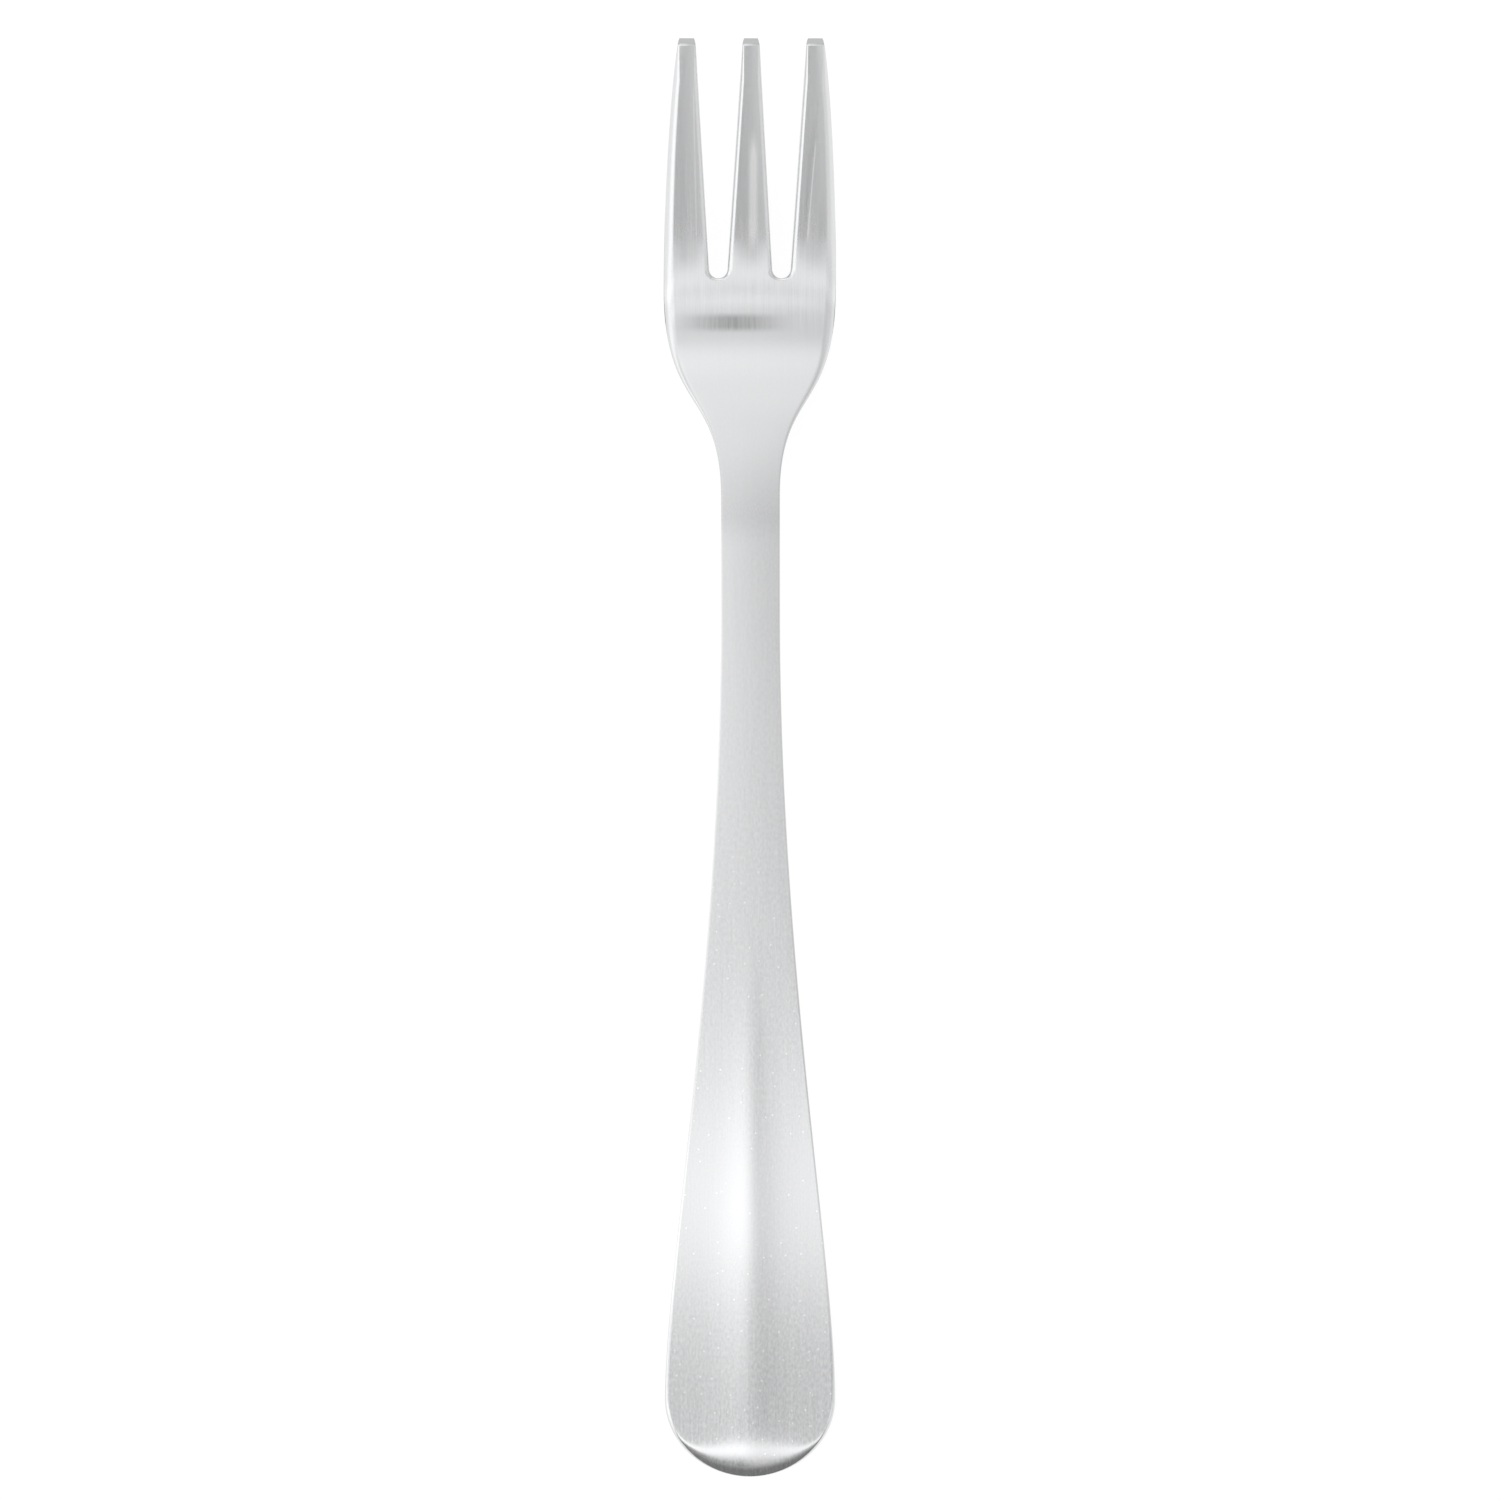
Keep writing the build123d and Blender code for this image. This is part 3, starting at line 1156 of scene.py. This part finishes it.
class Nodes:
    """Short way to write a node tree."""

    def __init__(self, tree: bpy.types.NodeTree) -> None:
        """Start with an empty tree."""
        self.tree = tree
        self.tree.nodes.clear()

    def add(self, kind: str, inputs: Inputs | None = None, **settings: object) -> bpy.types.Node:
        """Add one node.

        Args:
            kind: node type.
            inputs: values or other nodes' outputs, by the name or number of the socket.
            settings: properties of the node.

        Returns:
            The node.
        """
        node = self.tree.nodes.new(kind)
        for name, value in settings.items():
            setattr(node, name, value)
        for key, value in (inputs or {}).items():
            if isinstance(value, bpy.types.NodeSocket):
                self.tree.links.new(value, node.inputs[key])
            else:
                node.inputs[key].default_value = value
        return node

    def math(self, operation: str, *values: object) -> bpy.types.NodeSocket:
        """Work out one number from others."""
        return self.add("ShaderNodeMath", dict(enumerate(values)), operation=operation).outputs[0]

    def between(
        self, value: object, low: float, high: float, start: float = 0.0, end: float = 1.0
    ) -> bpy.types.NodeSocket:
        """Ease a number from start to end while value goes from low to high.

        Args:
            value: socket that gives the value.
            low: value at the start.
            high: value at the end.
            start: result at and before low.
            end: result at and past high.

        Returns:
            The result's socket.
        """
        inputs = {"Value": value, "From Min": low, "From Max": high, "To Min": start, "To Max": end}
        return self.add("ShaderNodeMapRange", inputs, interpolation_type="SMOOTHSTEP").outputs["Result"]

    def blend(self, share: object, first: object, second: object) -> bpy.types.NodeSocket:
        """Go from the first number to the second."""
        return self.add("ShaderNodeMix", {"Factor": share, 2: first, 3: second}).outputs[0]

    def ramp(self, value: object, stops: Stops) -> bpy.types.NodeSocket:
        """Read a level off a list of stops, easing from one to the next.

        Args:
            value: socket that gives the place.
            stops: pairs of place and level, in order.

        Returns:
            The level's socket.
        """
        low, high = stops[0][0], stops[-1][0]
        top = max(level for _, level in stops)
        inputs = {"Value": value, "From Min": low, "From Max": high}
        share = self.add("ShaderNodeMapRange", inputs).outputs["Result"]
        node = self.add("ShaderNodeValToRGB", {"Fac": share})
        node.color_ramp.interpolation = "EASE"
        elements = node.color_ramp.elements
        while len(elements) < len(stops):
            elements.new(0.5)
        for element, (place, level) in zip(elements, stops):
            element.position = (place - low) / (high - low)
            element.color = (level / top, level / top, level / top, 1.0)
        return self.math("MULTIPLY", node.outputs["Color"], top)


@dataclass(frozen=True)
class PaintedStripe:
    """Straight stripe of painted light or shade on the steel: a painted highlight for a strength above 0, painted
    shade below.
    """

    x: float
    y: float
    drift: float
    half: float
    start_y: float
    end_y: float
    fade: float
    strength: float

    def shade(self, nodes: Nodes, place: bpy.types.Node) -> bpy.types.NodeSocket:
        """Work out the stripe of painted light or shade, which is full on its line and fades to its sides and ends.

        Args:
            nodes: the material's tree.
            place: node that splits the place on the fork, in metres.

        Returns:
            The change of shade.
        """
        x, y = place.outputs["X"], place.outputs["Y"]
        line = nodes.math("MULTIPLY_ADD", y, self.drift, (self.x - self.drift * self.y) * METRES)
        aside = nodes.math("ABSOLUTE", nodes.math("SUBTRACT", x, line))
        mark = nodes.between(aside, self.half * METRES, 0.0, 0.0, self.strength)
        begun = nodes.between(y, (self.start_y - self.fade) * METRES, self.start_y * METRES)
        ended = nodes.between(y, (self.end_y + self.fade) * METRES, self.end_y * METRES)
        return nodes.math("MULTIPLY", mark, nodes.math("MULTIPLY", begun, ended))


@dataclass(frozen=True)
class BrushedSteel:
    """Satin stainless steel with fine lines brushed along the fork and polished edges; its colour also carries
    painted light and shade: a painted dark reflection at the heel, painted highlight streaks on the tines, painted
    glints on the handle, painted shade on the tip ends and painted shading along the fork.
    """

    name: str = "brushed_steel"
    color: tuple[float, float, float] = (0.755, 0.76, 0.767)
    anisotropy: float = 0.7
    edge_roughness: float = 0.18
    satin: Stops = ((-70.0, 0.235), (20.0, 0.235), (32.0, 0.36), (45.0, 0.37), (54.0, 0.25), (70.0, 0.25))
    # Painted shading along the fork: stops that make the colour lighter or darker station by station.
    painted_shading: Stops = (
        (20.5, 1.0), (24.0, 0.885), (32.0, 0.89), (36.0, 0.95),
        (39.5, 0.98), (43.8, 0.945), (45.3, 1.07), (47.2, 1.0),
    )
    brushing: Stops = (
        (-70.0, 1.3),
        (-65.0, 1.2),
        (-61.0, 0.6),
        (-40.0, 0.8),
        (5.0, 0.5),
        (24.0, 0.3),
        (41.0, 0.25),
        (44.0, 1.7),
        (50.0, 1.7),
        (56.0, 0.6),
    )
    graining: Stops = ((-70.0, 1.0), (-10.0, 0.8), (20.0, 0.4), (40.0, 0.2), (70.0, 0.4))
    line_width: float = 0.16
    line_length: float = 5.0
    line_detail: float = 2.0
    line_share: float = 0.6
    streak_width: float = 0.6
    streak_length: float = 22.0
    streak_detail: float = 1.0
    grain_size: float = 0.22
    grain_stretch: float = 2.0
    grain_detail: float = 1.0
    grain_swing: float = 1.05
    grain_groove: float = 0.4
    noise_roughness: float = 0.6
    noise_middle: float = 0.5
    roughness_swing: float = 0.1
    groove: float = 0.003
    shade: float = 0.16
    # Painted glints: small lighter spots in the colour of the handle.
    speck_pitch: float = 1.5
    speck_size: float = 0.075
    speck_choice: Span = (0.45, 0.65)
    speck_shade: float = 0.24
    speck_start_y: float = 5.0
    speck_full_y: float = -25.0
    # Painted highlight streaks on the centre, left and right tines, and a strip of painted shade beside the right
    # one.
    painted_streaks: tuple[PaintedStripe, ...] = (
        PaintedStripe(x=0.28, y=56.0, drift=0.0, half=0.6, start_y=52.5, end_y=58.0, fade=3.5, strength=0.46),
        PaintedStripe(x=-5.22, y=50.7, drift=-0.0255, half=0.14, start_y=51.5, end_y=64.0, fade=2.0, strength=0.12),
        PaintedStripe(x=5.62, y=51.0, drift=0.0787, half=0.13, start_y=51.5, end_y=59.0, fade=1.5, strength=0.3),
        PaintedStripe(x=5.2, y=51.0, drift=0.09, half=0.4, start_y=51.0, end_y=60.0, fade=3.0, strength=-0.1),
    )
    # Painted dark reflection: a band across the head at the heel, made darker in the colour.
    heel: PaintedStripe = PaintedStripe(x=-1.6, y=42.6, drift=0.0, half=6.6, start_y=42.35, end_y=43.0, fade=0.8, strength=-0.8)
    heel_least: float = 0.2
    heel_lines: float = 0.6
    # Painted shade: the end faces of the tine tips are darkened in the colour.
    tip_y: float = 69.25
    tip_run: float = 0.2
    tip_shade: float = -0.43

    def stretched(self, nodes: Nodes, width: float, length: float, detail: float) -> bpy.types.NodeSocket:
        """Make noise drawn out along the fork.

        Args:
            nodes: the material's tree.
            width: size of a mark across, in millimetres.
            length: size of a mark along, in millimetres.
            detail: octaves of the noise.

        Returns:
            The noise, about 0.5 on average.
        """
        place = nodes.add("ShaderNodeTexCoord").outputs["Object"]
        scale = (1 / (width * METRES), 1 / (length * METRES), 0.0)
        scaled = nodes.add("ShaderNodeVectorMath", {0: place, 1: scale}, operation="MULTIPLY").outputs[0]
        inputs = {"Vector": scaled, "Scale": 1.0, "Detail": detail, "Roughness": self.noise_roughness}
        return nodes.add("ShaderNodeTexNoise", inputs, noise_dimensions="2D").outputs[0]

    def painted_glints(self, nodes: Nodes, place: bpy.types.Node) -> bpy.types.NodeSocket:
        """Paint small glints over the handle as lighter colour: the middles of some cells of a cell pattern.

        Args:
            nodes: the material's tree.
            place: node that splits the place on the fork, in metres.

        Returns:
            The change of shade.
        """
        spot = nodes.add("ShaderNodeTexCoord").outputs["Object"]
        inputs = {"Vector": spot, "Scale": 1 / (self.speck_pitch * METRES)}
        cells = nodes.add("ShaderNodeTexVoronoi", inputs, voronoi_dimensions="2D")
        speck = nodes.between(cells.outputs["Distance"], self.speck_size, self.speck_size / 2, 0.0, self.speck_shade)
        chosen = nodes.between(cells.outputs["Color"], *self.speck_choice)
        zone = nodes.between(place.outputs["Y"], self.speck_start_y * METRES, self.speck_full_y * METRES)
        return nodes.math("MULTIPLY", speck, nodes.math("MULTIPLY", chosen, zone))

    def upper(self, nodes: Nodes) -> bpy.types.NodeSocket:
        """Give 1 on the sheet's upper face and 0 on its lower one, which lies right of the middle of the map."""
        spread = nodes.add("ShaderNodeUVMap", uv_map=SHEET_MAP).outputs[0]
        across = nodes.add("ShaderNodeSeparateXYZ", {0: spread}).outputs["X"]
        return nodes.math("LESS_THAN", across, MAP_MIDDLE)

    def build(self) -> bpy.types.Material:
        """Make the material.

        Returns:
            The material, the same for all six pieces.
        """
        material = bpy.data.materials.new(self.name)
        material.use_nodes = True
        nodes = Nodes(material.node_tree)
        lines = self.stretched(nodes, self.line_width, self.line_length, self.line_detail)
        streaks = self.stretched(nodes, self.streak_width, self.streak_length, self.streak_detail)
        place = nodes.add("ShaderNodeSeparateXYZ", {0: nodes.add("ShaderNodeTexCoord").outputs["Object"]})
        polish = nodes.add("ShaderNodeAttribute", attribute_name=POLISH).outputs["Fac"]
        plain = nodes.math("SUBTRACT", 1.0, polish)
        grain_length = self.grain_stretch * self.grain_size
        grain = self.stretched(nodes, self.grain_size, grain_length, self.grain_detail)
        along = nodes.math("DIVIDE", place.outputs["Y"], METRES)
        satin = nodes.ramp(along, self.satin)
        brushed = nodes.blend(self.line_share, streaks, lines)
        brushed = nodes.math("SUBTRACT", brushed, self.noise_middle)
        brushed = nodes.math("MULTIPLY", brushed, nodes.ramp(along, self.brushing))
        grain = nodes.math("SUBTRACT", grain, self.noise_middle)
        grain = nodes.math("MULTIPLY", grain, nodes.ramp(along, self.graining))
        swing = nodes.math("MULTIPLY", nodes.math("MULTIPLY_ADD", grain, self.grain_swing, brushed), plain)
        grooves = nodes.math("MULTIPLY", nodes.math("MULTIPLY_ADD", grain, self.grain_groove, brushed), plain)
        roughness = nodes.add("ShaderNodeMix", {"Factor": polish, 2: satin, 3: self.edge_roughness}).outputs[0]
        roughness = nodes.math("ADD", roughness, nodes.math("MULTIPLY", swing, self.roughness_swing))
        shade = nodes.math("MULTIPLY_ADD", swing, self.shade, 1.0)
        # Painted shade on the end faces of the tine tips.
        tip = nodes.between(along, self.tip_y, self.tip_y + self.tip_run, 0.0, self.tip_shade)
        shade = nodes.math("ADD", shade, tip)
        # Painted dark reflection band at the heel, broken up by the brush lines, plus the painted highlight streaks
        # and painted shade strip, all kept to the upper face.
        reflection_streaking = nodes.math("MULTIPLY_ADD", lines, self.heel_lines, self.heel_least)
        drawn = nodes.math("MULTIPLY", self.heel.shade(nodes, place), reflection_streaking)
        for mark in self.painted_streaks:
            drawn = nodes.math("ADD", drawn, mark.shade(nodes, place))
        drawn = nodes.math("MULTIPLY", drawn, self.upper(nodes))
        # Painted glints on the handle, kept off the polished edges.
        painted_glints = nodes.math("MULTIPLY", self.painted_glints(nodes, place), plain)
        shade = nodes.math("ADD", shade, nodes.math("ADD", drawn, painted_glints))
        # Painted shading along the fork.
        shade = nodes.math("MULTIPLY", shade, nodes.ramp(along, self.painted_shading))
        color = nodes.add(
            "ShaderNodeVectorMath", {0: self.color, "Scale": shade}, operation="SCALE"
        ).outputs[0]
        bump = nodes.add(
            "ShaderNodeBump", {"Strength": 1.0, "Distance": self.groove * METRES, "Height": grooves}
        ).outputs["Normal"]
        tangent = nodes.add("ShaderNodeTangent", direction_type="UV_MAP", uv_map=SHEET_MAP).outputs[0]
        surface = nodes.add(
            "ShaderNodeBsdfPrincipled",
            {
                "Base Color": color,
                "Metallic": 1.0,
                "Roughness": roughness,
                "Anisotropic": self.anisotropy,
                "Normal": bump,
                "Tangent": tangent,
            },
        ).outputs[0]
        nodes.add("ShaderNodeOutputMaterial", {"Surface": surface})
        return material


@dataclass(frozen=True)
class Studio:
    """White table, soft light all round and a long lens nearly straight above the fork."""

    distance: float = 1.2
    sideways: float = 0.8
    frame_width: float = 0.14634
    aim_y: float = 0.00093
    aim_z: float = 0.003
    sensor: float = 36.0
    clip_end: float = 10.0
    floor_size: float = 3.0
    floor_drop: float = 0.00002
    floor_glow: float = 0.9
    floor_color: float = 0.15
    left_span: Span = (-0.22, 0.1)
    right_span: Span = (0.02, 0.22)
    wall_span: Span = (0.66, 0.5)
    horizon_span: Span = (0.12, 0.03)
    right_lean: float = 0.9
    right_wall_span: Span = (-0.05, 0.15)
    left_lean: float = 1.3
    left_wall_span: Span = (-0.4, -0.15)
    front_span: Span = (0.1, 0.4)
    low_front_span: Span = (0.45, 0.28)
    side_front_span: Span = (0.3, 0.6)
    left_wall: float = 1.35
    right_wall: float = 0.85
    front_wall: float = 1.25
    low_front: float = 0.4
    side_front: float = 0.5
    back_wall: float = 0.2
    levels: tuple[tuple[float, float, float, float], ...] = (
        (-100.0, 0.12, 0.12, 0.12),
        (-60.0, 0.15, 0.22, 0.14),
        (-50.0, 0.36, 0.44, 0.34),
        (-46.0, 0.36, 0.44, 0.5),
        (-42.0, 0.26, 0.42, 0.66),
        (-39.6, 0.36, 0.56, 0.75),
        (-36.5, 1.6, 1.33, 1.2),
        (-30.0, 1.7, 1.38, 1.22),
        (-28.0, 1.05, 0.88, 0.76),
        (-26.0, 0.7, 0.64, 0.55),
        (-24.0, 0.7, 0.63, 0.54),
        (-22.5, 0.75, 0.64, 0.54),
        (-20.6, 0.95, 0.64, 0.54),
        (-18.4, 0.93, 0.57, 0.57),
        (-17.0, 1.05, 0.62, 0.6),
        (-15.6, 1.36, 0.97, 0.77),
        (-14.2, 1.62, 1.33, 0.92),
        (-12.6, 1.7, 1.35, 0.97),
        (-10.8, 1.6, 1.1, 0.94),
        (-9.0, 1.38, 0.93, 0.82),
        (-7.0, 1.08, 0.74, 0.54),
        (-4.0, 1.03, 0.77, 0.66),
        (0.0, 1.03, 0.81, 0.76),
        (16.0, 1.0, 0.76, 0.69),
        (22.0, 1.1, 0.86, 0.82),
        (30.0, 1.34, 1.01, 1.0),
        (40.0, 1.4, 1.07, 1.06),
        (100.0, 1.2, 1.0, 1.0),
    )

    def sky(self, nodes: Nodes, way: bpy.types.Node) -> bpy.types.NodeSocket:
        """Light from above: levels on the left, in the middle and on the right, each over an angle.

        The angle is that from straight up towards the tines.

        Args:
            nodes: the world's tree.
            way: node that splits the direction.

        Returns:
            The level, which goes from the left one over the middle one to the right one across the fork.
        """
        turned = nodes.math("ARCTAN2", way.outputs["Y"], way.outputs["Z"])
        angle = nodes.math("DEGREES", turned)
        angles, *columns = zip(*self.levels)
        left, flat, right = (nodes.ramp(angle, tuple(zip(angles, column))) for column in columns)
        level = nodes.blend(nodes.between(way.outputs["X"], *self.left_span), left, flat)
        return nodes.blend(nodes.between(way.outputs["X"], *self.right_span), level, right)

    def walls(self, nodes: Nodes, way: bpy.types.Node) -> bpy.types.NodeSocket:
        """Light from low round about: dark behind the handle's end, white on the left and over the tines.

        The white over the tines gives way to grey lower down and to its sides.

        Args:
            nodes: the world's tree.
            way: node that splits the direction.

        Returns:
            The level.
        """
        x, y, z = (way.outputs[axis] for axis in "XYZ")
        behind = nodes.math("MINIMUM", y, 0.0)
        right = nodes.math("MULTIPLY_ADD", behind, self.right_lean, x)
        left = nodes.math("SUBTRACT", nodes.math("MULTIPLY", behind, self.left_lean), x)
        rightward = nodes.between(right, *self.right_wall_span)
        leftward = nodes.between(left, *self.left_wall_span)
        level = nodes.blend(rightward, self.back_wall, self.right_wall)
        level = nodes.blend(leftward, level, self.left_wall)
        front = nodes.blend(nodes.between(z, *self.low_front_span), self.front_wall, self.low_front)
        aside = nodes.between(nodes.math("ABSOLUTE", x), *self.side_front_span)
        front = nodes.blend(aside, front, self.side_front)
        return nodes.blend(nodes.between(y, *self.front_span), level, front)

    def light(self, world: bpy.types.World) -> None:
        """Fill the world with light that changes softly with direction, and goes to white at the horizon.

        Args:
            world: the scene's world.
        """
        world.use_nodes = True
        nodes = Nodes(world.node_tree)
        way = nodes.add("ShaderNodeSeparateXYZ", {0: nodes.add("ShaderNodeTexCoord").outputs["Generated"]})
        low = nodes.between(way.outputs["Z"], *self.wall_span)
        level = nodes.blend(low, self.sky(nodes, way), self.walls(nodes, way))
        level = nodes.blend(nodes.between(way.outputs["Z"], *self.horizon_span), level, 1.0)
        background = nodes.add("ShaderNodeBackground", {"Color": level, "Strength": 1.0}).outputs[0]
        nodes.add("ShaderNodeOutputWorld", {"Surface": background})

    def lay_floor(self) -> None:
        """Make the table top, white of itself and a little darker where the fork keeps light off it."""
        half = self.floor_size / 2
        mesh = bpy.data.meshes.new("table_top")
        corners = [(-half, -half), (half, -half), (half, half), (-half, half)]
        mesh.from_pydata([(x, y, -self.floor_drop) for x, y in corners], [], [(0, 1, 2, 3)])
        floor = bpy.data.objects.new("table_top", mesh)
        bpy.context.scene.collection.objects.link(floor)
        material = bpy.data.materials.new("white_table")
        material.use_nodes = True
        nodes = Nodes(material.node_tree)
        shade = self.floor_color
        matte = nodes.add("ShaderNodeBsdfDiffuse", {"Color": (shade, shade, shade, 1.0)}).outputs[0]
        rays = nodes.add("ShaderNodeLightPath").outputs
        mirrored = nodes.math("MAXIMUM", rays["Is Glossy Ray"], rays["Is Transmission Ray"])
        seen = nodes.math("MAXIMUM", rays["Is Camera Ray"], mirrored)
        strength = nodes.math("MULTIPLY", seen, self.floor_glow)
        glow = nodes.add("ShaderNodeEmission", {"Strength": strength}).outputs[0]
        both = nodes.add("ShaderNodeAddShader", {0: matte, 1: glow}).outputs[0]
        nodes.add("ShaderNodeOutputMaterial", {"Surface": both})
        mesh.materials.append(material)

    def place_camera(self) -> None:
        """Put the camera above the fork, a little to the left, with the tines at the top of the picture."""
        data = bpy.data.cameras.new("camera")
        data.sensor_width = self.sensor
        data.lens = self.sensor * self.distance / self.frame_width
        data.clip_end = self.clip_end
        camera = bpy.data.objects.new("camera", data)
        lean = np.radians(self.sideways)
        aim = Vector((0.0, self.aim_y, self.aim_z))
        camera.location = aim + self.distance * Vector((-np.sin(lean), 0.0, np.cos(lean)))
        camera.rotation_euler = (0.0, -lean, 0.0)
        bpy.context.scene.collection.objects.link(camera)
        bpy.context.scene.camera = camera

    def build(self) -> None:
        """Set up the floor, the light, the camera and the plain view transform."""
        scene = bpy.context.scene
        scene.view_settings.view_transform = "Standard"
        scene.world = bpy.data.worlds.new("studio")
        self.light(scene.world)
        self.lay_floor()
        self.place_camera()


@dataclass(frozen=True)
class OysterFork:
    """The whole fork: the blank with its six regions, and the finish that they share."""

    blank: Blank
    finish: BrushedSteel

    def regions(self) -> dict[str, Region]:
        """Name the regions by the nodes that they dress."""
        left, centre, right = self.blank.tines
        return {
            "handle": self.blank.handle,
            "shank": self.blank.shank,
            "head": self.blank.head,
            "left_tine": left,
            "centre_tine": centre,
            "right_tine": right,
        }

    def build(self) -> None:
        """Make every region's piece, dress it and hang it on the frame."""
        steel = self.finish.build()
        for node, region in self.regions().items():
            mesh = Solid(f"{node}_steel", region.patches(self.blank)).mesh()
            mesh.materials.append(steel)
            piece = bpy.data.objects.new(f"{node}_steel", mesh)
            bpy.context.scene.collection.objects.link(piece)
            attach(piece, BODY)
            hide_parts(node)
            LOG.info("%s: %d faces", piece.name, len(mesh.polygons))


def node_box(node: str) -> tuple[Array, Array]:
    """Give a node's lowest and highest corner in millimetres."""
    low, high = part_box(node)
    return np.array(low) / METRES, np.array(high) / METRES


def design() -> OysterFork:
    """Work out the fork from the frame's boxes and the sizes of its regions.

    Returns:
        The fork, ready to build.
    """
    handle_low, handle_high = node_box("handle")
    _, shank_high = node_box("shank")
    _, head_high = node_box("head")
    tip_y = float(node_box("centre_tine")[1][1])
    end_y = float(handle_low[1])
    waist = float(shank_high[0])
    shank_back_y, shank_front_y = float(handle_high[1]), float(shank_high[1])
    side_line = SideLine(tip_y, end_y)
    line = side_line.trace()
    slot = Slot(tip_y)
    handle = Handle(end_y, shank_back_y, float(handle_high[0]), waist)
    shank = Shank(shank_back_y, shank_front_y, waist)
    head = Head(shank_front_y, float(head_high[0]), waist, slot)
    tines = tuple(Tine(side, tip_y, slot) for side in TineSide)
    sheet = Sheet(line, side_line.half_sheet, (handle.ridge, handle.roll))
    blank = Blank(line, sheet, handle, shank, head, tines)
    crowns = (shank.crowning(blank.side), head.crowning(blank.side))
    crowned = Sheet(line, side_line.half_sheet, sheet.reliefs + crowns)
    return OysterFork(Blank(line, crowned, handle, shank, head, tines), BrushedSteel())


def main() -> None:
    """Build the fork and its surroundings."""
    logging.basicConfig(level=logging.INFO)
    design().build()
    Studio().build()


if __name__ == "__main__":
    main()
